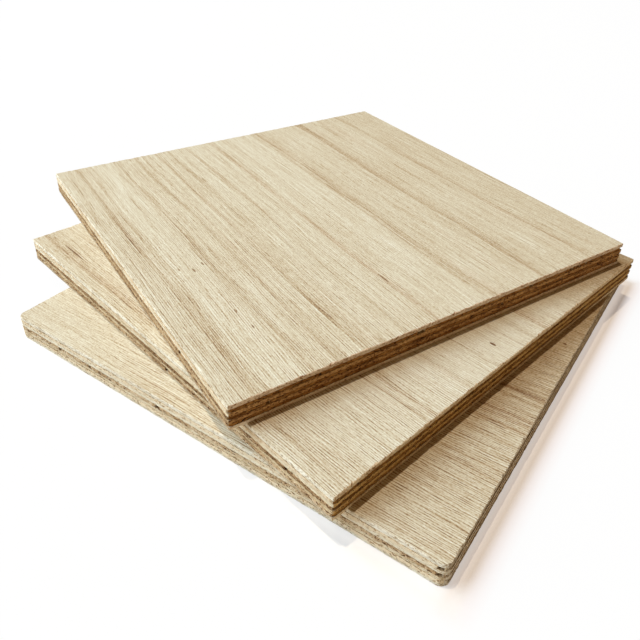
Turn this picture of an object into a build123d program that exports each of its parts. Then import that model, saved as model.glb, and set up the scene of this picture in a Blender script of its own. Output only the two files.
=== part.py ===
from build123d import *
import os
from collections import namedtuple

# Three square plywood sheets, lying flat on one another and fanned out. Each sheet is glued up
# from seven veneers whose grain runs along and across by turns. Every veneer is a piece of its own.
#
# The origin is the middle of the bottom sheet's underside. X runs along the grain of its face,
# Y across it, and Z is up. The front edge of a sheet is its -Y edge, the right edge its +X edge.
# Sizes are in millimetres and angles in degrees.

# A sheet, sawn to size
sheet_length = 300.0
sheet_width = 300.0

# Veneer thicknesses: the face and back are sanded, the five inside are as they left the press
face_thickness = 2.35
core_thickness = 2.28

# A veneer dries narrower across its grain, so there it stands a little back from the sawn edge
cross_shrinkage = 0.3

# The sanded arris along the edges of the face and of the back
arris_break = 0.3

# Corners wear round: the face least, the crossbands most, where their short grain breaks away
face_corner_wear = 0.6
core_corner_wear = 1.0
crossband_corner_wear = 1.8

# The bottom sheet has been knocked: both corners of its front edge are round through all veneers
knocked_corner_wear = 4.5

# The fan: where the middle of each upper sheet lies, seen from the bottom sheet, and its turn
middle_shift_x = -21.1
middle_shift_y = 16.7
middle_turn = -11.3
top_shift_x = -48.5
top_shift_y = 38.7
top_turn = -22.25

# Core gaps: two strips of a crossband don't quite meet, and a wedge runs in with the grain
gap_width = 2.2
wide_gap_width = 3.2
gap_depth = 26.0

# Bites: wane or a missing knot in a crossband, opened by the saw that cut along its grain
small_bite_width = 2.2
bite_width = 3.6
knot_hole_width = 5.2
bite_depth = 1.6
knot_hole_depth = 4.0

# End breaks: at the far corner of the right edge the short grain of a crossband has come away
short_end_break = 3.0
end_break = 5.0
end_break_depth = 3.0

# A corner of the bottom sheet is crushed: how wide the break is along the edge, and how deep
crushed_width = 4.0
crushed_depth = 3.2
crushed_from_corner = 3.6

Sheet = namedtuple("Sheet", "name shift_x shift_y turn front_wear")
Veneer = namedtuple("Veneer", "name grain_along thickness corner_wear")
Void = namedtuple("Void", "sheet veneer edge along width depth")

# Both lists run from the floor up
sheets = [
    Sheet("bottom_sheet", 0.0, 0.0, 0.0, knocked_corner_wear),
    Sheet("middle_sheet", middle_shift_x, middle_shift_y, middle_turn, 0.0),
    Sheet("top_sheet", top_shift_x, top_shift_y, top_turn, 0.0),
]
veneers = [
    Veneer("back_veneer", True, face_thickness, face_corner_wear),
    Veneer("lower_crossband", False, core_thickness, crossband_corner_wear),
    Veneer("lower_core", True, core_thickness, core_corner_wear),
    Veneer("centre_crossband", False, core_thickness, crossband_corner_wear),
    Veneer("upper_core", True, core_thickness, core_corner_wear),
    Veneer("upper_crossband", False, core_thickness, crossband_corner_wear),
    Veneer("face_veneer", True, face_thickness, face_corner_wear),
]

# The voids that show on the sawn edges, each at its distance along the edge from the middle of it.
# On the front edge a crossband shows its end grain, so a void there is a core gap. On the right
# edge the saw ran along its grain, so a void there is a bite.
corner_along = sheet_length / 2 - crushed_from_corner
far_corner = sheet_width / 2
voids = [
    Void("top_sheet", "upper_crossband", "right", -29.7, knot_hole_width, knot_hole_depth),
    Void("top_sheet", "upper_crossband", "right", 59.4, bite_width, bite_depth),
    Void("top_sheet", "upper_crossband", "right", 96.9, bite_width, bite_depth),
    Void("top_sheet", "upper_crossband", "right", 103.9, bite_width, bite_depth),
    Void("top_sheet", "upper_crossband", "right", 111.4, small_bite_width, bite_depth),
    Void("top_sheet", "upper_crossband", "right", far_corner, 2 * short_end_break, end_break_depth),
    Void("top_sheet", "centre_crossband", "right", -127.9, small_bite_width, bite_depth),
    Void("top_sheet", "centre_crossband", "right", 35.0, small_bite_width, bite_depth),
    Void("top_sheet", "centre_crossband", "right", 88.3, small_bite_width, bite_depth),
    Void("top_sheet", "centre_crossband", "front", 92.3, gap_width, gap_depth),
    Void("middle_sheet", "upper_crossband", "right", far_corner, 2 * end_break, end_break_depth),
    Void("middle_sheet", "centre_crossband", "right", -147.0, knot_hole_width, bite_depth),
    Void("middle_sheet", "centre_crossband", "right", 80.5, knot_hole_width, knot_hole_depth),
    Void("middle_sheet", "centre_crossband", "right", 102.2, bite_width, bite_depth),
    Void("middle_sheet", "centre_crossband", "right", far_corner, 2 * end_break, end_break_depth),
    Void("middle_sheet", "centre_crossband", "front", 118.6, gap_width, gap_depth),
    Void("middle_sheet", "lower_crossband", "right", far_corner, 2 * end_break, end_break_depth),
    Void("middle_sheet", "lower_crossband", "front", 16.9, wide_gap_width, gap_depth),
    Void("bottom_sheet", "centre_crossband", "front", -109.8, wide_gap_width, gap_depth),
    Void("bottom_sheet", "centre_crossband", "front", -83.0, gap_width, gap_depth),
    Void("bottom_sheet", "centre_crossband", "front", -26.5, gap_width, gap_depth),
    Void("bottom_sheet", "centre_crossband", "front", corner_along, crushed_width, crushed_depth),
    Void("bottom_sheet", "upper_crossband", "front", corner_along, crushed_width, crushed_depth),
]


def veneer_size(veneer):
    """Length and width of a veneer: full along its grain, shrunk across it on both sides."""
    if veneer.grain_along:
        return sheet_length, sheet_width - 2 * cross_shrinkage
    return sheet_length - 2 * cross_shrinkage, sheet_width


def cut_void(void, length, width):
    """Inside a veneer's sketch, take out one void: a wedge on the front edge, a bite on the right."""
    if void.edge == "front":
        mouth = -width / 2
        left = (void.along - void.width / 2, mouth)
        right = (void.along + void.width / 2, mouth)
        tip = (void.along, mouth + void.depth)
        Polygon(left, right, tip, mode=Mode.SUBTRACT)
    else:
        with Locations((length / 2, void.along)):
            Ellipse(void.depth, void.width / 2, mode=Mode.SUBTRACT)


def build_veneer(sheet, veneer, height):
    """One veneer of one sheet, with its underside at the given height."""
    length, width = veneer_size(veneer)
    underside = Plane(Location((sheet.shift_x, sheet.shift_y, height), (0, 0, sheet.turn)))
    with BuildPart() as ply:
        with BuildSketch(underside):
            Rectangle(length, width)
            fillet(vertices().sort_by(Axis.Y)[:2], max(sheet.front_wear, veneer.corner_wear))
            fillet(vertices().sort_by(Axis.Y)[-2:], veneer.corner_wear)
            for void in voids:
                if (void.sheet, void.veneer) == (sheet.name, veneer.name):
                    cut_void(void, length, width)
        extrude(amount=veneer.thickness)
        if veneer.name == "face_veneer":
            chamfer(ply.faces().sort_by(Axis.Z)[-1].edges(), arris_break)
        if veneer.name == "back_veneer":
            chamfer(ply.faces().sort_by(Axis.Z)[0].edges(), arris_break)
    ply.part.label = sheet.name + "_" + veneer.name
    return ply.part


os.makedirs("parts", exist_ok=True)
height = 0.0
for sheet in sheets:
    for veneer in veneers:
        piece = build_veneer(sheet, veneer, height)
        export_step(piece, "parts/" + piece.label + ".step")
        height += veneer.thickness
print("stack height", round(height, 3), "mm")
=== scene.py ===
# %% [markdown]
# # A fanned stack of plywood sheets
# Three square sheets of plywood lie on one another, each turned a little further than the one below. The
# shape is simple, so the looks are all in the wood: the straight grain of the pale face veneers, and the
# sawn edges, where seven veneers with their grain along and across by turns show as light and dark bands.
# The measured model gives the place and size of every veneer. This script gives each one its torn edges and
# its finish.

# %% Load the measured model
import math
import bpy
import numpy as np
from mathutils import Matrix, Vector


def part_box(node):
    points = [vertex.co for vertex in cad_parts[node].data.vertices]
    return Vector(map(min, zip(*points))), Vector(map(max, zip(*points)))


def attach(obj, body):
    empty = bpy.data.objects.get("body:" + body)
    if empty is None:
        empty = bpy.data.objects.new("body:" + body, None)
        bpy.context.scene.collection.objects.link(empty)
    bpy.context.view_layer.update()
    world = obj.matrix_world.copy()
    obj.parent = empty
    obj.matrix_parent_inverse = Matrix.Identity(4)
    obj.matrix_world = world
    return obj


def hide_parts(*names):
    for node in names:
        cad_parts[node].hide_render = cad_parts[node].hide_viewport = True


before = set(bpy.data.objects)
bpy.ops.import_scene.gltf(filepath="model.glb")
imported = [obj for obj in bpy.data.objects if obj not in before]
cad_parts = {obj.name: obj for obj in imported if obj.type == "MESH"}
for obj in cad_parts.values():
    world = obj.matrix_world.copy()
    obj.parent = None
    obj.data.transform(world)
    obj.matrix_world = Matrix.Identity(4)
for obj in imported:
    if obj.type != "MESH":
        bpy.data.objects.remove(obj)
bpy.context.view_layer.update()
MM = 0.001
SHEETS = ("bottom_sheet", "middle_sheet", "top_sheet")
print("nodes in the frame:", len(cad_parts))

# %% [markdown]
# ## Where each sheet lies
# Every sheet is a rectangle that has been shifted and turned. Grain runs with the sheet, so each finish
# needs the sheet's own coordinates. The shifts and turns could be copied from the model's numbers, but
# measuring them keeps them right if the model changes: a rectangle's box is smallest when it is measured
# along the rectangle's own sides, so the turn that gives the smallest box is the sheet's turn.


# %% Measure the sheets
TRIES = 91
ROUNDS = 4


def flat_points(node):
    """The node's points seen from above, in millimetres."""
    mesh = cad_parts[node].data
    return np.array([(v.co.x, v.co.y) for v in mesh.vertices]) / MM


def turned(points, angle):
    """Points turned by an angle in radians."""
    c, s = math.cos(angle), math.sin(angle)
    return points @ np.array([[c, s], [-s, c]])


def measure_sheet(sheet):
    """Turn (radians), middle and size of a sheet, from its face veneer."""
    points = flat_points(sheet + "_face_veneer")
    best = None
    low, high = -math.pi / 4, math.pi / 4
    for _ in range(ROUNDS):
        for angle in np.linspace(low, high, TRIES):
            size = np.ptp(turned(points, -angle), axis=0)
            if best is None or size.prod() < best[0]:
                best = (size.prod(), angle)
        span = (high - low) / (TRIES - 1)
        low, high = best[1] - span, best[1] + span
    turn = best[1]
    own = turned(points, -turn)
    middle = turned((own.min(0) + own.max(0))[None] / 2, turn)[0]
    return {"turn": turn, "middle": middle, "size": np.ptp(own, axis=0)}


sheets = {name: measure_sheet(name) for name in SHEETS}
for name, s in sheets.items():
    turn = round(math.degrees(s["turn"]), 2)
    print(name, "turn", turn, "middle", s["middle"].round(1), "size", s["size"].round(2))

# %% [markdown]
# ## The camera
# The camera stands where the photograph was taken from, a short way in front of the stack and above it. Its
# place and turn were worked out from the corners of the three sheets. The focal length is short, so the
# front corners look large and the far edges small.

# %% Camera
CAMERA_PLACE = (0.19330, -0.32078, 0.27207)
CAMERA_RIGHT = Vector((0.82281, 0.56758, 0.02897))
CAMERA_DOWN = Vector((0.33517, -0.44345, -0.83127))
SENSOR = 36.0
FOCAL_PX = 661.94
FRAME_PX = 640
PRINCIPAL_PX = (322.27, 280.62)

camera_data = bpy.data.cameras.new("camera")
camera_data.sensor_width = SENSOR
camera_data.lens = FOCAL_PX / FRAME_PX * SENSOR
camera_data.shift_x = (FRAME_PX / 2 - PRINCIPAL_PX[0]) / FRAME_PX
camera_data.shift_y = (PRINCIPAL_PX[1] - FRAME_PX / 2) / FRAME_PX
camera_data.clip_start = 0.01
camera = bpy.data.objects.new("camera", camera_data)
right = CAMERA_RIGHT.normalized()
up = (-CAMERA_DOWN).normalized()
back = right.cross(up).normalized()
up = back.cross(right)
camera.matrix_world = Matrix.Translation(CAMERA_PLACE) @ Matrix((right, up, back)).transposed().to_4x4()
bpy.context.scene.collection.objects.link(camera)
bpy.context.scene.camera = camera
shift = round(camera_data.shift_x, 4), round(camera_data.shift_y, 4)
print("lens", round(camera_data.lens, 2), "mm, shift", shift)

# %% [markdown]
# ## Colours and ramps
# A ramp turns one number into a colour through a few stops. Wood colours are easiest to judge as they look
# on a screen, from 0 to 255, but shaders work with amounts of light. So every colour is written as it
# looks, and turned into light here.


# %% Colours and ramps
def linear(r, g, b):
    """A colour as it looks on a screen, 0 to 255, as the light values that shaders use."""
    out = []
    for c in (r, g, b):
        c = c / 255
        out.append(c / 12.92 if c <= 0.04045 else ((c + 0.055) / 1.055) ** 2.4)
    return tuple(out)


def set_stops(ramp, stops):
    """Fills a colour ramp. A stop is (place, number) or (place, (r, g, b))."""
    while len(ramp.elements) > 1:
        ramp.elements.remove(ramp.elements[-1])
    for i, (place, colour) in enumerate(stops):
        element = ramp.elements[0] if i == 0 else ramp.elements.new(place)
        element.position = place
        if isinstance(colour, (int, float)):
            colour = (colour, colour, colour)
        element.color = (*colour, 1.0)


print("middle grey as light:", round(linear(128, 128, 128)[0], 3))

# %% [markdown]
# ## A small language for finishes
# A finish is a node tree. Writing it as arithmetic makes it short to read: a `Signal` stands for one output
# socket, and adding or multiplying signals adds the Math nodes. Every other node comes from `Finish.node`,
# which takes the node's type, its settings, and what goes into its sockets.


# %% Signals
class Signal:
    """An output socket of a finish. Arithmetic on it adds Math nodes."""

    def __init__(self, finish, socket):
        self.finish = finish
        self.socket = socket

    def calc(self, operation, first, second=0.0):
        """A Math node on signals or numbers."""
        return self.finish.node("ShaderNodeMath", {"operation": operation}, {0: first, 1: second})

    def __add__(self, other):
        return self.calc("ADD", self, other)

    __radd__ = __add__

    def __sub__(self, other):
        return self.calc("SUBTRACT", self, other)

    def __rsub__(self, other):
        return self.calc("SUBTRACT", other, self)

    def __mul__(self, other):
        return self.calc("MULTIPLY", self, other)

    __rmul__ = __mul__

    def __truediv__(self, other):
        return self.calc("DIVIDE", self, other)

    def __rtruediv__(self, other):
        return self.calc("DIVIDE", other, self)

    def squared(self):
        return self.calc("POWER", self, 2)

    def size(self):
        return self.calc("ABSOLUTE", self)

    def sine(self):
        return self.calc("SINE", self)

    def fraction(self):
        return self.calc("FRACT", self)

    def larger(self, other):
        return self.calc("MAXIMUM", self, other)


# %% Finishes
MIX_AMOUNT, MIX_FIRST, MIX_SECOND, MIX_RESULT = 0, 6, 7, 2


class Finish:
    """The node tree of a new material, or of the room around the scene, written in Python."""

    def __init__(self, name, of_room=False):
        self.owner = (bpy.data.worlds if of_room else bpy.data.materials).new(name)
        self.output = "ShaderNodeOutputWorld" if of_room else "ShaderNodeOutputMaterial"
        self.owner.use_nodes = True
        self.tree = self.owner.node_tree
        self.tree.nodes.clear()

    def node(self, kind, settings=None, inputs=None, output=0):
        """Adds a node: settings first, then the values or links of its sockets. Gives one output."""
        made = self.tree.nodes.new(kind)
        for key, value in (settings or {}).items():
            if key == "stops":
                set_stops(made.color_ramp, value)
            else:
                setattr(made, key, value)
        for key, value in (inputs or {}).items():
            if isinstance(value, Signal):
                self.tree.links.new(value.socket, made.inputs[key])
            else:
                made.inputs[key].default_value = value
        return Signal(self, made.outputs[output])

    def blend(self, amount, first, second):
        """The first colour, going over to the second as amount goes from 0 to 1."""
        inputs = {MIX_AMOUNT: amount, MIX_FIRST: first, MIX_SECOND: second}
        return self.node("ShaderNodeMix", {"data_type": "RGBA"}, inputs, MIX_RESULT)

    def between(self, signal, low, high, soft=True):
        """0 at low and 1 at high, with a soft or a straight slope between them."""
        settings = {"interpolation_type": "SMOOTHSTEP" if soft else "LINEAR"}
        inputs = {"Value": signal, "From Min": low, "From Max": high}
        return self.node("ShaderNodeMapRange", settings, inputs)

    def noise(self, x, y, long, wide, seed, detail=2.0, roughness=0.5):
        """Soft noise from about -0.5 to 0.5, in patches about that long in x and that wide in y."""
        point = self.node("ShaderNodeCombineXYZ", None, {0: x / long, 1: y / wide, 2: seed})
        inputs = {"Vector": point, "Scale": 1.0, "Detail": detail, "Roughness": roughness}
        return self.node("ShaderNodeTexNoise", None, inputs) - 0.5

    def ramp(self, amount, stops):
        """A colour that follows amount through the stops."""
        return self.node("ShaderNodeValToRGB", {"stops": stops}, {0: amount})

    def axes(self, place):
        """The three parts of a place, as signals."""
        return [self.node("ShaderNodeSeparateXYZ", None, {0: place}, i) for i in range(3)]

    def wood(self, colour, roughness, shine, bump):
        """Bare wood: matt, with hardly any shine."""
        inputs = {"Base Color": colour, "Roughness": roughness, "Specular IOR Level": shine, "Normal": bump}
        return self.finish(self.node("ShaderNodeBsdfPrincipled", None, inputs))

    def finish(self, surface):
        """Ends the tree with its surface, and gives the material or the room."""
        output = self.tree.nodes.new(self.output)
        self.tree.links.new(surface.socket, output.inputs["Surface"])
        return self.owner


print("the language of finishes is ready")

# %% [markdown]
# ## The grain of a face
# The face is straight-grained veneer. Its rings run the length of the sheet as fine lines. In a ring the
# wood darkens slowly and ends in a sharp dark line, after which the next ring starts pale. A picture of
# wood could be laid over it, but a picture has a fixed size and its own light in it. Here the rings that
# show most are placed one by one on a colour ramp that runs across the sheet, and noise that is stretched
# along the grain makes the rest. A ramp holds at most 32 stops, so the rings are dealt out over three
# ramps.

# %% Rings and slow changes
RING_LINE = 0.7
RING_RAMPS = 3


def share_across(across, width):
    """Where a place lies across the sheet, from 0 to 1."""
    return across / width + 0.5


def ring_stops(rings, width):
    """Ramp stops for rings, given as (where across the sheet, how far its fade reaches, depth)."""
    stops = []
    last = 0.0
    for where, fade, depth in rings:
        for place, value in ((where - RING_LINE, 0.0), (where, depth), (where + fade, 0.0)):
            last = max(share_across(place, width), last + 1e-4)
            stops.append((last, value))
    return [(0.0, 0.0)] + stops


def ring_marks(f, x, across, rings, width, seed):
    """The listed rings, stronger in some places along the grain than in others."""
    rings = sorted(rings)
    share = share_across(across, width)
    marks = sum(f.ramp(share, ring_stops(rings[i::RING_RAMPS], width)) for i in range(RING_RAMPS))
    strength = f.noise(x, across, 90, 6, seed + 5) * 1.4 + 1.0
    return marks * strength


def slow_tone(f, x, across, ground, length, width, pale_end):
    """The slow changes of tone: across the sheet through the ground stops, and along it to its pale end."""
    stops = [(share_across(where, width), tone) for where, tone in ground]
    return f.ramp(share_across(across, width), stops) + x / length * -pale_end


print("stops of a ring in the middle of a sheet:", ring_stops([(0, 5, 0.5)], 300))

# %% [markdown]
# ## The fine lines of a face
# Between the rings the wood is drawn with lines about 1.35 mm apart, a little wavy, and broken along their
# length. Noise alone gives no even spacing, so a sine wave across the grain makes them, and noise bends it
# and breaks it up. The lines are clear towards the front corner and fade towards the left one, where the
# wood is smoother. A few long thin veins cross the pattern: they lie where stretched noise goes through
# zero, because that happens along a line.

# %% Fine lines
LINE_PITCH = 1.35 / (2 * math.pi)
MEAN_LINE = 0.38
SMOOTH_FROM, CLEAR_FROM = -190, 60


def grain_drift(f, x, y, seed):
    """How far the grain wanders sideways."""
    return f.noise(x, y, 150, 35, seed, 1) * 8 + f.noise(x, y, 45, 8, seed + 3, 1) * 1.6


def fine_lines(f, x, y, across, seed):
    """Dark lines along the grain, from 0 to about 1."""
    wander = f.noise(x, across, 40, 4, seed + 15, 1) * 2.0
    wander = wander + f.noise(x, across, 12, 1.5, seed + 17, 1) * 0.5
    line = f.between(((across + wander) / LINE_PITCH).sine(), -0.3, 1.0)
    weight = (f.noise(x, across, 9, 1.6, seed + 16, 1) * 2.4 + 0.9) * (1 - y / 300)
    clear = f.between(x, SMOOTH_FROM, CLEAR_FROM, False)
    return (MEAN_LINE + (line - MEAN_LINE) * clear) * weight


def veins(f, x, across, seed):
    """A few long thin lines, from 0 to 1."""
    thin = 1 - f.between(f.noise(x, across, 260, 4.5, seed + 21, 1).size(), 0.0, 0.035)
    return thin * f.between(f.noise(x, across, 70, 7, seed + 22, 1), -0.2, 0.35)


print("fine lines on 100 mm:", round(100 / (LINE_PITCH * 2 * math.pi)))

# %% [markdown]
# ## The face finish
# All of the grain is added up to one number, the tone, which a ramp turns into wood colours. Near the rings
# and in wide bands the wood has a warmer blush, so a second ramp holds warmer colours and is blended in
# there. Small dark pin marks are placed one by one. The wood is sanded but bare, so it is matt, and its
# grain is a shallow relief.

# %% The face finish
TONES = (0.0, 0.2, 0.4, 0.6, 0.8, 1.0)
FACE_COLOURS = [(126, 92, 62), (172, 144, 106), (202, 182, 149),
                (220, 208, 180), (232, 224, 201), (246, 242, 226)]
BLUSH_COLOURS = [(118, 78, 52), (168, 132, 98), (204, 176, 145),
                 (224, 206, 180), (236, 224, 204), (248, 242, 230)]
RING_DEPTH, VEIN_DEPTH = 0.36, 0.2
STREAK_DEPTH, STROKE_DEPTH = 0.32, 0.85
HAIR_DEPTH, SPECK_DEPTH, CLOUD_DEPTH = 0.75, 0.95, 0.12
FACE_LIFT = 0.045
BLUSH_SHARE = 0.45


def tone_stops(colours):
    """Ramp stops for six colours, from the darkest wood to the palest."""
    return [(tone, linear(*colour)) for tone, colour in zip(TONES, colours)]


def sheet_coordinates(f):
    """Signals along the grain of the sheet, across it, and up, in millimetres."""
    return f.axes(f.node("ShaderNodeAttribute", {"attribute_name": "on_sheet"}, None, "Vector"))


def face_finish(sheet, rings, ground, pins, line_depth, pale_end, seed):
    """The sanded face or back of a sheet."""
    f = Finish(sheet + "_face_wood")
    length, width = (float(v) for v in sheets[sheet]["size"])
    x, y, _ = sheet_coordinates(f)
    across = y + grain_drift(f, x, y, seed)
    marks = ring_marks(f, x, across, rings, width, seed)
    streaks = f.noise(x, across, 260, 2.6, seed + 7, 3, 0.7)
    strokes = f.noise(x, across, 45, 0.7, seed + 9, 1)
    strokes_weight = f.noise(x, across, 60, 4, seed + 10, 1) * 1.5 + 0.8
    lines = fine_lines(f, x, y, across, seed)
    hair = f.noise(x, across, 6, 0.42, seed + 11, 2, 0.6)
    specks = f.noise(x, across, 1.5, 0.65, seed + 12, 2, 0.6)
    cloud = f.noise(x, y, 60, 30, seed + 13, 2)
    tone = slow_tone(f, x, across, ground, length, width, pale_end) - marks * RING_DEPTH
    tone = tone + streaks * STREAK_DEPTH + strokes * strokes_weight * STROKE_DEPTH - lines * line_depth
    tone = tone - veins(f, x, across, seed) * VEIN_DEPTH + hair * HAIR_DEPTH + specks * SPECK_DEPTH
    tone = tone + cloud * CLOUD_DEPTH + FACE_LIFT
    for px, py, pin_length, thick, depth in pins:
        spot = ((x - px) / pin_length).squared() + ((y - py) / thick).squared()
        tone = tone - (1 - f.between(spot, 0.3, 1.2)) * depth
    blush = f.between(marks * 0.5 + f.noise(x, across, 200, 7, seed + 23, 1) * 1.2, 0.0, 0.8)
    plain, warm = [f.ramp(tone, tone_stops(colours)) for colours in (FACE_COLOURS, BLUSH_COLOURS)]
    height = strokes * 0.8 + hair * 0.3 + specks * 0.3 - lines * 0.6
    bump = f.node("ShaderNodeBump", None, {"Strength": 0.35, "Distance": 0.0002, "Height": height})
    return f.wood(f.blend(blush * BLUSH_SHARE, plain, warm), 0.62 + hair * 0.2, 0.2, bump)


print("the palest face colour as light:", [round(c, 2) for c in linear(*FACE_COLOURS[-1])])

# %% [markdown]
# ## What differs from face to face
# The three sheets come from different logs, so each face has its own rings, ground tone and pin marks. They
# are read off the photograph and written as real sizes: millimetres from the middle of the sheet. On the
# middle and bottom sheets the ground tone falls towards the back, where only a narrow strip beside the sheet
# above shows: there the fall is partly painted shade.

# %% The three faces
RINGS = {
    "top_sheet": [(-135, 6, 0.5), (-127.9, 3, 0.4), (-104.8, 2, 0.4), (-101.8, 2, 0.5), (-99.8, 2, 0.4),
                  (-85.2, 3, 0.5), (-79.7, 2, 0.5), (-75.7, 3, 0.4), (-69.7, 5, 0.5), (-62.6, 3, 0.3),
                  (-58.6, 3, 0.3), (-41.5, 4, 0.5), (-19.4, 5, 0.6), (-7.4, 2, 0.3), (-4.4, 3, 0.3),
                  (21.7, 3, 0.5), (25.2, 8, 0.45), (68.8, 8, 0.5), (113, 6, 0.4)],
    "middle_sheet": [(-141.5, 6, 0.4), (-93.4, 3, 0.4), (-81.9, 3, 0.8), (-75.9, 3, 0.8), (-63.4, 3, 0.4),
                     (-46.4, 5, 0.5), (-21.4, 4, 0.4), (5.6, 5, 0.5), (18.6, 5, 0.5), (31.6, 8, 0.7)],
    "bottom_sheet": [(-94.2, 5, 0.5), (-86.2, 4, 0.5), (-79.2, 3, 0.4), (-68.3, 4, 0.4), (-58.3, 3, 0.5),
                     (-52.3, 2.5, 0.7), (-47.9, 3, 0.8), (-43.1, 1.5, 0.5), (-41.4, 2, 0.4), (-32.4, 4, 0.4),
                     (-26.4, 8, 0.8), (-16.0, 3, 0.5)],
}
# Ground tones across each sheet. On the middle and bottom sheets they fall towards the back, beside the
# sheet above: there the fall is partly painted shade.
GROUND_TONE_AND_PAINTED_SHADE = {
    "top_sheet": [(-150, 0.62), (-138, 0.57), (-120, 0.67), (-100, 0.62), (-84, 0.59), (-76, 0.66),
                  (-66, 0.60), (-34, 0.63), (-20, 0.61), (0, 0.65), (18, 0.62), (28, 0.56), (44, 0.58),
                  (56, 0.58), (70, 0.54), (90, 0.55), (106, 0.55), (118, 0.53), (150, 0.51)],
    "middle_sheet": [(-150, 0.63), (-136, 0.59), (-122, 0.65), (-104, 0.64), (-90, 0.67), (-70, 0.67),
                     (0, 0.67), (20, 0.65), (50, 0.60), (80, 0.48), (110, 0.36), (150, 0.32)],
    "bottom_sheet": [(-150, 0.61), (-140, 0.63), (-124, 0.61), (-108, 0.61), (-80, 0.61), (-50, 0.56),
                     (-25, 0.50), (10, 0.40), (150, 0.35)],
}
PALE_END = {"top_sheet": 0.0, "middle_sheet": -0.10, "bottom_sheet": 0.05}
PINS = {
    "top_sheet": [(27.4, -122.2, 2.4, 0.5, 0.5), (32.7, -114.3, 2.8, 0.6, 0.7),
                  (28.3, -106.6, 2.4, 0.5, 0.6), (83.6, -111.5, 2.0, 0.6, 0.5),
                  (101.5, -109.9, 1.6, 0.6, 0.5), (99.4, -18.4, 6, 0.6, 0.4),
                  (-83.3, -54.4, 5, 0.8, 0.3)],
    "middle_sheet": [(136.1, -6.0, 2.2, 0.9, 1.3), (-114.0, -136.5, 15, 0.6, 0.4)],
    "bottom_sheet": [(133.5, -58.3, 6, 0.35, 0.5), (142.0, 31.6, 1.2, 0.8, 0.7)],
}
LINE_DEPTH = {"top_sheet": 0.20, "middle_sheet": 0.24, "bottom_sheet": 0.26}
for name in SHEETS:
    print(name, "face:", len(RINGS[name]), "rings,", len(PINS[name]), "pin marks")

# %% Make the face finishes
FACE_SEED = 20.0
face_woods = {}
for i, name in enumerate(SHEETS):
    looks = [table[name] for table in (RINGS, GROUND_TONE_AND_PAINTED_SHADE, PINS, LINE_DEPTH, PALE_END)]
    face_woods[name] = face_finish(name, *looks, FACE_SEED * (i + 1))
    print(name, "face:", len(face_woods[name].node_tree.nodes), "nodes")

# %% [markdown]
# ## The sawn edges
# Where the saw cut across a veneer's grain, the cut ends of the fibres and pores show: the wood looks
# speckled and rough. Where it cut along the grain, long fibres show as fine streaks. Glue darkens the line
# between two veneers, in dots. Inside a gap or under an overhang no light comes, so there the wood is
# painted almost black: painted shade. Each of these is a small function, and their sum is again a tone
# that a ramp turns into colours.

# %% What a sawn edge shows
HALF_SHEET = 150.0
LAYER = 2.28
FIRST_GLUE_LINE = 2.35
HOLLOW_FROM, HOLLOW_FULL = 1.8, 3.0


def sawn_grain(f, along, z, end_grain):
    """Fibres, about zero, and pores, from 0 to 1."""
    if end_grain:
        fibre = f.noise(along, z, 1.1, 0.7, 1.5, 3, 0.7)
        return fibre, f.between(f.noise(along, z, 1.3, 0.8, 7.5, 1), 0.04, 0.16)
    fibre = f.noise(along, z, 3.5, 0.4, 2.5, 3, 0.7)
    return fibre, f.between(f.noise(along, z, 1.6, 0.6, 8.5, 1), 0.05, 0.2)


def glue_dots(f, along, z):
    """Dots, from 0 to 1, close to the lines where veneers meet."""
    layer = ((z - FIRST_GLUE_LINE) / LAYER).fraction()
    near_glue = f.between((layer - 0.5).size(), 0.34, 0.5)
    return near_glue * f.between(f.noise(along, z, 0.9, 4, 5.5, 1), -0.04, 0.1)


def painted_gap_shade(f, x, y):
    """Painted shade: 1 deep inside the gaps of the sheet, 0 at its edge."""
    inside = HALF_SHEET - x.size().larger(y.size())
    return f.between(inside, HOLLOW_FROM, HOLLOW_FULL)


print("glue lines at", [round(FIRST_GLUE_LINE + LAYER * i, 2) for i in range(6)], "mm")

# %% The sawn finish
SAWN_TONE = 0.58
# The colour of the painted shade deep inside the gaps.
GAP_SHADE_COLOUR = (*linear(30, 14, 4), 1.0)


def sawn_finish(name, colours, end_grain, pits, lift=0.0, grit=1.4):
    """The sawn edge of a veneer. A lift makes it paler, and grit gives it more contrast."""
    f = Finish(name)
    x, y, z = sheet_coordinates(f)
    along = x + y
    fibre, pores = sawn_grain(f, along, z, end_grain)
    cloud = f.noise(along, z, 14, 3, 4.5, 2)
    # dark is painted shade: it darkens the tone deep inside the gaps and blends it towards the shade colour.
    dark = painted_gap_shade(f, x, y)
    tone = SAWN_TONE + lift + fibre * grit + cloud * 0.7 - pores * pits - dark
    tone = tone - glue_dots(f, along, z) * grit * 0.25
    stops = [(place, linear(*colour)) for place, colour in zip((0.05, 0.5, 0.95), colours)]
    height = fibre - pores * 0.7
    bump = f.node("ShaderNodeBump", None, {"Strength": 0.6, "Distance": 0.0004, "Height": height})
    colour = f.blend(dark * 0.8, f.ramp(tone, stops), GAP_SHADE_COLOUR)
    return f.wood(colour, 0.85 + fibre * 0.1, 0.1, bump)


PLAIN = ((140, 112, 80), (190, 160, 120), (214, 188, 150))
hidden_wood = sawn_finish("hidden_wood", PLAIN, False, 0.3)
print("nodes in the hidden finish:", len(hidden_wood.node_tree.nodes))
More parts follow.
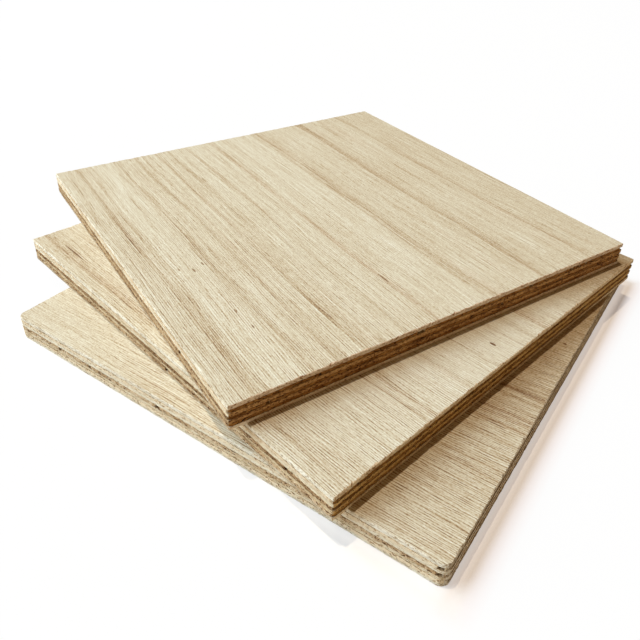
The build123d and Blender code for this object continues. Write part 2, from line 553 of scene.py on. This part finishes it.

# %% [markdown]
# ## The wood of each veneer
# The crossbands are a browner wood than the rest. A veneer shows its end grain at one pair of edges and its
# long grain at the other pair, so it needs both. The colours of the edges at the right are darker and redder
# than those at the front: partly a browner sawn wood, partly painted shade, for the light there has only
# bounced off the wood and the floor. On the bottom sheet the colours of the right edges are paler and greyer
# instead: painted light bounced off the floor. Each veneer is also a little paler or darker than the next.
# One finish for each kind of wood would make all the sheets alike. So every veneer has its own, with lifts
# that say how much paler it is, from the lowest veneer to the highest. The lifts carry painted light and
# shade as well as each veneer's own tone.

# %% Colours of the sawn veneers
FACE_LONG = ((168, 140, 104), (228, 216, 190), (250, 244, 228))
CORE_LONG = ((148, 110, 70), (214, 192, 153), (247, 237, 214))
CROSSBAND_END = ((86, 52, 26), (184, 149, 106), (238, 221, 190))
# Colours of the right edges, sheet by sheet: on the top and middle sheets darkened and reddened by painted
# shade, on the bottom sheet paled and greyed by painted light bounced off the floor.
FACE_END_WITH_PAINTED_LIGHT_AND_SHADE = {
    "top_sheet": ((160, 112, 76), (230, 200, 166), (250, 234, 206)),
    "middle_sheet": ((160, 118, 76), (232, 204, 162), (250, 236, 204)),
    "bottom_sheet": ((150, 130, 104), (214, 198, 170), (240, 232, 214)),
}
CORE_END_WITH_PAINTED_LIGHT_AND_SHADE = {
    "top_sheet": ((92, 46, 16), (198, 150, 94), (238, 200, 142)),
    "middle_sheet": ((96, 56, 20), (204, 161, 96), (238, 203, 142)),
    "bottom_sheet": ((150, 128, 100), (226, 210, 182), (246, 238, 220)),
}
CROSSBAND_LONG_WITH_PAINTED_LIGHT_AND_SHADE = {
    "top_sheet": ((26, 6, 0), (146, 96, 42), (210, 158, 94)),
    "middle_sheet": ((32, 12, 0), (150, 104, 44), (208, 162, 94)),
    "bottom_sheet": ((120, 98, 72), (216, 198, 168), (242, 232, 212)),
}
VENEERS = ("back_veneer", "lower_crossband", "lower_core", "centre_crossband", "upper_core",
           "upper_crossband", "face_veneer")
GRAIN_ACROSS = ("lower_crossband", "centre_crossband", "upper_crossband")
# Lifts at the front edges: each veneer's own tone, with painted shade that darkens the lowest veneers of the
# top and middle sheets beside the sheet below, and painted light from the floor that pales the bottom
# sheet's veneers.
FRONT_LIFTS_WITH_PAINTED_LIGHT_AND_SHADE = {
    "top_sheet": (-0.36, -0.10, -0.26, -0.14, 0.10, 0.22, -0.05),
    "middle_sheet": (-0.36, -0.05, -0.12, -0.20, 0.14, 0.26, 0.06),
    "bottom_sheet": (-0.02, 0.46, 0.08, 0.10, 0.42, 0.66, 0.14),
}
# Lifts at the right edges: each veneer's own tone, and on the bottom sheet painted light from the floor that
# makes the veneers paler towards the floor.
RIGHT_LIFTS_WITH_PAINTED_LIGHT_AND_SHADE = {
    "top_sheet": (0.24, 0.0, -0.14, -0.02, -0.06, 0.0, 0.02),
    "middle_sheet": (0.14, -0.02, 0.0, -0.03, 0.0, 0.0, 0.06),
    "bottom_sheet": (0.30, 0.20, 0.20, 0.18, 0.0, -0.30, -0.14),
}
print("veneers in a sheet:", len(VENEERS), "of which across the grain:", len(GRAIN_ACROSS))

# %% The finishes of a veneer
FRONT_GRIT = {"top_sheet": 1.0, "middle_sheet": 1.2, "bottom_sheet": 2.0}
SMOOTH_CROSSBAND = (0.15, 0.6)
ROUGH_CROSSBAND = (0.7, 1.4)


def woods_of(sheet, kind):
    """The finishes of a veneer: its flat sides, its end grain, its long grain."""
    end_name, long_name = [sheet + "_" + kind + grain for grain in ("_end_grain", "_long_grain")]
    front, right = [lifts[sheet][VENEERS.index(kind)] for lifts in (FRONT_LIFTS_WITH_PAINTED_LIGHT_AND_SHADE, RIGHT_LIFTS_WITH_PAINTED_LIGHT_AND_SHADE)]
    if kind in GRAIN_ACROSS:
        smooth = kind == "upper_crossband" and sheet != "bottom_sheet"
        pits, grit = SMOOTH_CROSSBAND if smooth else ROUGH_CROSSBAND
        end = sawn_finish(end_name, CROSSBAND_END, True, pits, front, grit)
        return hidden_wood, end, sawn_finish(long_name, CROSSBAND_LONG_WITH_PAINTED_LIGHT_AND_SHADE[sheet], False, 0.6, right)
    if "core" in kind:
        end = sawn_finish(end_name, CORE_END_WITH_PAINTED_LIGHT_AND_SHADE[sheet], True, 0.4, right)
        long = sawn_finish(long_name, CORE_LONG, False, 0.45, front, FRONT_GRIT[sheet])
        return hidden_wood, end, long
    end = sawn_finish(end_name, FACE_END_WITH_PAINTED_LIGHT_AND_SHADE[sheet], True, 0.4, right)
    long = sawn_finish(long_name, FACE_LONG, False, 0.5, front, FRONT_GRIT[sheet])
    return face_woods[sheet], end, long


print("grit of the front edges:", FRONT_GRIT)

# %% [markdown]
# ## Veneers with torn edges
# A saw doesn't leave a perfect edge. It tears splinters out of the face where it cuts across the grain, and
# every veneer ends a hair further in or out than the next. A Displace modifier could roughen the edges, but
# it also moves points outwards, and needs a very fine mesh everywhere. So each veneer is made again from
# its measured outline, with a point every half millimetre or so, and every point is moved inwards by noise.
# Nothing moves outwards, so the sheet keeps its size.

# %% Noise for shapes
TABLE = 256


def lattice_noise(u, v, seed):
    """Smooth noise from -1 to 1 over two coordinates, the same on each run."""
    table = np.random.RandomState(seed).uniform(-1, 1, (TABLE, TABLE))
    iu, iv = np.floor(u).astype(int), np.floor(v).astype(int)
    fu, fv = u - iu, v - iv
    fu, fv = fu * fu * (3 - 2 * fu), fv * fv * (3 - 2 * fv)

    def at(i, j):
        return table[(iu + i) % TABLE, (iv + j) % TABLE]

    low = at(0, 0) * (1 - fu) + at(1, 0) * fu
    high = at(0, 1) * (1 - fu) + at(1, 1) * fu
    return low * (1 - fv) + high * fv


print("noise at one place:", lattice_noise(np.array([1.5]), np.array([2.5]), 1).round(3))

# %% Outlines from the measured model
def flat_outline(node, height):
    """The outline of the node's flat side at that height, going round anticlockwise, in millimetres."""
    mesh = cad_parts[node].data
    places = [tuple(round(c / MM, 3) for c in v.co) for v in mesh.vertices]
    sides = set()
    for polygon in mesh.polygons:
        corners = [places[i] for i in polygon.vertices]
        if all(abs(c[2] - height) < 0.01 for c in corners):
            for a, b in zip(corners, corners[1:] + corners[:1]):
                if (b, a) in sides:
                    sides.remove((b, a))
                else:
                    sides.add((a, b))
    following = dict(sides)
    start = min(following)
    loop = [start]
    while following[loop[-1]] != start:
        loop.append(following[loop[-1]])
    outline = np.array(loop)[:, :2]
    x, y = outline.T
    area = (x * np.roll(y, -1) - y * np.roll(x, -1)).sum()
    return outline if area > 0 else outline[::-1]


def finely(outline, step):
    """The outline with points at most a step apart, and the outward direction at every point."""
    points, outward = [], []
    for a, b in zip(outline, np.roll(outline, -1, axis=0)):
        length = np.hypot(*(b - a))
        if length < 1e-6:
            continue
        n = max(1, int(math.ceil(length / step)))
        for i in range(n):
            points.append(a + (b - a) * i / n)
    points = np.array(points)
    way = np.roll(points, -1, axis=0) - np.roll(points, 1, axis=0)
    way /= np.hypot(way[:, 0], way[:, 1])[:, None]
    return points, np.stack([way[:, 1], -way[:, 0]], axis=1)


core = flat_outline("bottom_sheet_lower_core", FIRST_GLUE_LINE + LAYER)
print("corners of the bottom sheet's lower core:", len(core))

# %% [markdown]
# ## How each veneer is torn
# The fibres of a veneer end at the two edges that cross its grain. There the saw leaves them short and
# ragged, and along the upper arris of the face it breaks out small splinters. At the other two edges the
# saw ran along the grain, and the veneer splits in long, shallow flakes. The crossbands are the weakest, so
# they are torn the deepest.

# %% Tearing
STEP = 0.6
CORNER_REACH = 4.0
CORNER_ZONE = 9.0


def tear(node_seed, kind, is_end, along, z):
    """How far the edge stands back, in millimetres, at places along it and at a height in the veneer."""
    if is_end:
        ragged = lattice_noise(along / 0.9, z / 0.8, node_seed) * 0.14
        ragged += lattice_noise(along / 3.5, z / 2.0, node_seed + 1) * 0.08
        return np.maximum(0, ragged + 0.1)
    flakes = lattice_noise(along / 6.0, z / 0.9, node_seed + 2)
    pits = np.maximum(0, lattice_noise(along / 1.8, z / 0.8, node_seed + 3) - 0.35)
    deep = 0.9 if kind in GRAIN_ACROSS else 0.25
    return np.maximum(0, 0.06 + flakes * 0.07) + pits * deep


def splinters(node_seed, along):
    """How far the arris is broken out where the saw crossed the grain of the face."""
    small = np.maximum(0, lattice_noise(along / 0.75, along * 0, node_seed + 4) + 0.15)
    large = np.maximum(0, lattice_noise(along / 2.2, along * 0, node_seed + 5) - 0.3)
    return small * 0.5 + large * 1.1


def away_from_inside(points, outward):
    """The outward directions, but near a corner of the sheet they all point away from one place."""
    inside = HALF_SHEET - CORNER_ZONE
    in_corner = (np.abs(points) > inside).all(axis=1)
    way = points - np.clip(points, -inside, inside)
    way /= np.maximum(np.hypot(way[:, 0], way[:, 1]), 1e-6)[:, None]
    return np.where(in_corner[:, None], way, outward)


def corner_breaks(node_seed, own):
    """How far the fibres have broken off near an upright corner of the sheet."""
    inside = HALF_SHEET - np.abs(own).min(axis=1)
    near = np.clip(1 - inside / CORNER_REACH, 0, 1) * (own[:, 0] > 0)
    return near * (0.1 + 0.4 * np.abs(lattice_noise(own[:, 0] / 1.1, own[:, 1] / 1.1, node_seed + 6)))


print("a splinter row:", splinters(0, np.array([0.4, 1.6, 2.8])).round(2), "mm")

# %% [markdown]
# ## From outline to piece
# A veneer is a low prism. Its edge is made of five rings of points, one above the other, and each ring is
# torn on its own. The outer arris of a face or back veneer is broken by 0.3 mm, as sandpaper leaves it. The
# faces between the rings have four sides each, and the outline says whether they show end grain or long
# grain. Every point keeps its place on the sheet in the attribute `on_sheet`, from which the finishes take
# their coordinates.

# %% Rings of points
ARRIS = 0.3
SPLINTERS_BELOW = 0.3


def levels_of(kind, thick):
    """Heights of the rings, as shares of the thickness, and how far each stands in to break the arris."""
    if kind == "face_veneer":
        return [0.0, 0.3, 0.6, (thick - ARRIS) / thick, 1.0], [0.0, 0.0, 0.0, 0.0, ARRIS]
    if kind == "back_veneer":
        return [0.0, ARRIS / thick, 0.4, 0.7, 1.0], [ARRIS, 0.0, 0.0, 0.0, 0.0]
    return [0.0, 0.25, 0.5, 0.75, 1.0], [0.0, 0.0, 0.0, 0.0, 0.0]


def torn_rings(points, outward, ends, along, kind, low, thick, seed):
    """The rings up the edge of a veneer, each moved in by the tearing at its height."""
    rings = []
    for height, inset in zip(*levels_of(kind, thick)):
        level = np.full(len(along), low + thick * height)
        end_tears, side_tears = [tear(seed, kind, is_end, along, level) for is_end in (True, False)]
        back = np.where(ends, end_tears, side_tears)
        if kind == "face_veneer" and height > 0.7:
            share = 1.0 if height == 1.0 else SPLINTERS_BELOW
            back = back + np.where(ends, splinters(seed, along) * share, 0.0)
        moved = points - outward * (back + inset + corner_breaks(seed, points))[:, None]
        rings.append(np.column_stack([moved, level]))
    return rings


def ring_faces(n, rings):
    """The sides between rings of n points, then the underside and the top."""
    faces = []
    for base in range(0, (rings - 1) * n, n):
        for i in range(n):
            j = (i + 1) % n
            faces.append((base + i, base + j, base + n + j, base + n + i))
    faces.append(tuple(range(n - 1, -1, -1)))
    faces.append(tuple(range((rings - 1) * n, rings * n)))
    return faces


heights, _ = levels_of("face_veneer", FIRST_GLUE_LINE)
print("heights of the rings of a face veneer:", [round(h, 2) for h in heights])

# %% One veneer
FLAT, END_GRAIN, LONG_GRAIN = 0, 1, 2


def make_veneer(node, seed):
    """A detailed copy of a veneer, and how many sides its edge has."""
    sheet = next(s for s in SHEETS if node.startswith(s))
    kind = node[len(sheet) + 1:]
    low, high = (c.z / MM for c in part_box(node))
    outline = flat_outline(node, high if kind == "back_veneer" else low)
    own = turned(outline - sheets[sheet]["middle"], -sheets[sheet]["turn"])
    points, outward = finely(own, STEP)
    crosses_x = np.abs(outward[:, 0]) > np.abs(outward[:, 1])
    ends = crosses_x != (kind in GRAIN_ACROSS)
    along = np.where(crosses_x, points[:, 1], points[:, 0])
    outward = away_from_inside(points, outward)
    rings = torn_rings(points, outward, ends, along, kind, low, high - low, seed)
    vertices = np.concatenate(rings)
    faces = ring_faces(len(points), len(rings))
    flat = turned(vertices[:, :2], sheets[sheet]["turn"]) + sheets[sheet]["middle"]
    mesh = bpy.data.meshes.new(node + "_torn")
    mesh.from_pydata(np.column_stack([flat, vertices[:, 2]]) * MM, [], faces)
    on_sheet = mesh.attributes.new("on_sheet", "FLOAT_VECTOR", "POINT")
    on_sheet.data.foreach_set("vector", vertices.ravel())
    for wood in woods_of(sheet, kind):
        mesh.materials.append(wood)
    slots = np.tile(np.where(ends, END_GRAIN, LONG_GRAIN), len(rings) - 1)
    mesh.polygons.foreach_set("material_index", np.concatenate([slots, [FLAT, FLAT]]))
    mesh.polygons.foreach_set("use_smooth", np.zeros(len(faces), dtype=bool))
    mesh.update()
    piece = bpy.data.objects.new(node + "_torn", mesh)
    bpy.context.scene.collection.objects.link(piece)
    return piece, len(slots)


# %% All the veneers
FIRST_SEED, SEED_STEP = 100, 10
total = 0
for i, node in enumerate(sorted(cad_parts)):
    piece, sides = make_veneer(node, FIRST_SEED + SEED_STEP * i)
    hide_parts(node)
    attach(piece, "root")
    total += sides * 2
print("triangles on the edges:", total)

# %% [markdown]
# ## The floor
# The stack lies on white paper. In the photograph it is plain white but for a soft, slightly warm shade
# close to the stack. The floor could be lit until it is white, but the wood would then be far too bright.
# So for the camera the paper goes over to a plain white glow within 25 mm of the bottom sheet: the glow's
# share depends on how far a place is from the sheet. Right beside the sheet the share is higher where the
# lamp's crisp shadow falls than just beyond it, which is painted light that evens out that shadow. Beside
# the right edge the glow is tinted warm, a painted warm shade. The light that the floor throws back onto
# the wood is that of warm paper, which keeps the dark edges brown.

# %% Floor
FLOOR_REACH = 4.0
PAPER = (0.98, 0.93, 0.88, 1)
BOUNCING_PAPER = (0.80, 0.73, 0.62, 1)
WHITE = (1, 1, 1, 1)
SHADE_ENDS = (0.165, 0.150)
# Share of the glow by distance from the middle: close to the sheet it is raised where the lamp's crisp
# shadow falls and lower just beyond, painted light that evens out that shadow.
GLOW_AND_PAINTED_LIGHT_STOPS = [(0.150, 0.53), (0.1525, 0.54), (0.1535, 0.28), (0.155, 0.18), (0.157, 0.34),
              (0.160, 0.68), (0.165, 0.94), (0.175, 0.97)]
# Warm tint of the glow beside the right edge, by distance: painted warm shade.
WARM_PAINTED_SHADE_STOPS = [(0.148, (1, 1, 1)), (0.150, (1, 0.88, 0.78)), (0.154, (1, 0.89, 0.82)),
               (0.160, (1, 0.94, 0.93)), (0.168, (1, 1, 1))]
floor_corners = [(-FLOOR_REACH, -FLOOR_REACH, 0), (FLOOR_REACH, -FLOOR_REACH, 0),
                 (FLOOR_REACH, FLOOR_REACH, 0), (-FLOOR_REACH, FLOOR_REACH, 0)]
floor_mesh = bpy.data.meshes.new("floor")
floor_mesh.from_pydata(floor_corners, [], [(0, 1, 2, 3)])
floor = bpy.data.objects.new("floor", floor_mesh)
bpy.context.scene.collection.objects.link(floor)
print("floor:", 2 * FLOOR_REACH, "m wide, plain white from", GLOW_AND_PAINTED_LIGHT_STOPS[-1][0], "m out")

# %% The paper's finish
f = Finish("floor")
x, y, _ = f.axes(f.node("ShaderNodeTexCoord", None, None, "Object"))
beside = f.between(y.size(), *SHADE_ENDS)
# The glow is white, but beside the right edge it takes the painted warm shade.
glow_and_painted_shade_colour = f.blend(beside, WHITE, f.ramp(x, WARM_PAINTED_SHADE_STOPS))
glow = f.node("ShaderNodeEmission", None, {"Color": glow_and_painted_shade_colour, "Strength": 1.0})
paper = f.node("ShaderNodeBsdfDiffuse", None, {"Color": PAPER})
share = f.ramp(x.size().larger(y.size()), GLOW_AND_PAINTED_LIGHT_STOPS)
seen = f.node("ShaderNodeMixShader", None, {0: share, 1: paper, 2: glow})
bounced = f.node("ShaderNodeBsdfDiffuse", None, {"Color": BOUNCING_PAPER})
to_camera = f.node("ShaderNodeLightPath", None, None, "Is Camera Ray")
floor_surface = f.node("ShaderNodeMixShader", None, {0: to_camera, 1: bounced, 2: seen})
floor_mesh.materials.append(f.finish(floor_surface))
print("nodes in the floor's finish:", len(f.tree.nodes))

# %% [markdown]
# ## The light
# Three things light the stack. A large window stands low at the left, in front: it lights the left edges as
# brightly as the faces, leaves the right edges brown, and gives the broad soft shade beside them. One light
# couldn't give a soft and a crisp shadow at once, so a small lamp almost overhead draws the narrow crisp
# shadow at the foot of the right edges. The rest of the room is dim and warm. The window is a little blue
# and the lamp a little yellow. Together they show the wood in its own colour.

# %% Lamp and window
LAMP_FROM = Vector((-0.215, -0.07, 1.0))
LAMP_ENERGY, LAMP_COLOUR, LAMP_ANGLE = 1.32, (0.985, 0.855, 0.68), math.radians(1.5)
WINDOW_FROM = Vector((-0.742, -0.390, 0.545))
WINDOW_WATTS, WINDOW_COLOUR = 182.0, (0.83, 1.03, 1.22)
WINDOW_AWAY, WINDOW_SIZE = 3.5, 3.4


def add_light(name, kind, energy, colour, comes_from):
    """A light that shines from that direction onto the middle of the stack."""
    light = bpy.data.lights.new(name, kind)
    light.energy = energy
    light.color = colour
    placed = bpy.data.objects.new(name, light)
    placed.rotation_euler = comes_from.to_track_quat("Z", "Y").to_euler()
    bpy.context.scene.collection.objects.link(placed)
    return light, placed


lamp, _ = add_light("lamp", "SUN", LAMP_ENERGY, LAMP_COLOUR, LAMP_FROM)
lamp.angle = LAMP_ANGLE
window, window_object = add_light("window", "AREA", WINDOW_WATTS, WINDOW_COLOUR, WINDOW_FROM)
window.size = WINDOW_SIZE
window_object.location = WINDOW_FROM.normalized() * WINDOW_AWAY
print("lamp", round(lamp.energy, 2), "W/m2, window", round(window.energy), "W")

# %% The room
ROOM_COLOUR = (1.0, 0.60, 0.28, 1)
ROOM_STRENGTH = 0.14
f = Finish("room", of_room=True)
room = f.node("ShaderNodeBackground", None, {"Color": ROOM_COLOUR, "Strength": ROOM_STRENGTH})
white = f.node("ShaderNodeBackground", None, {"Color": WHITE})
to_camera = f.node("ShaderNodeLightPath", None, None, "Is Camera Ray")
seen = f.node("ShaderNodeMixShader", None, {0: to_camera, 1: room, 2: white})
bpy.context.scene.world = f.finish(seen)
bpy.context.scene.view_settings.view_transform = "Standard"
print("room strength", ROOM_STRENGTH)
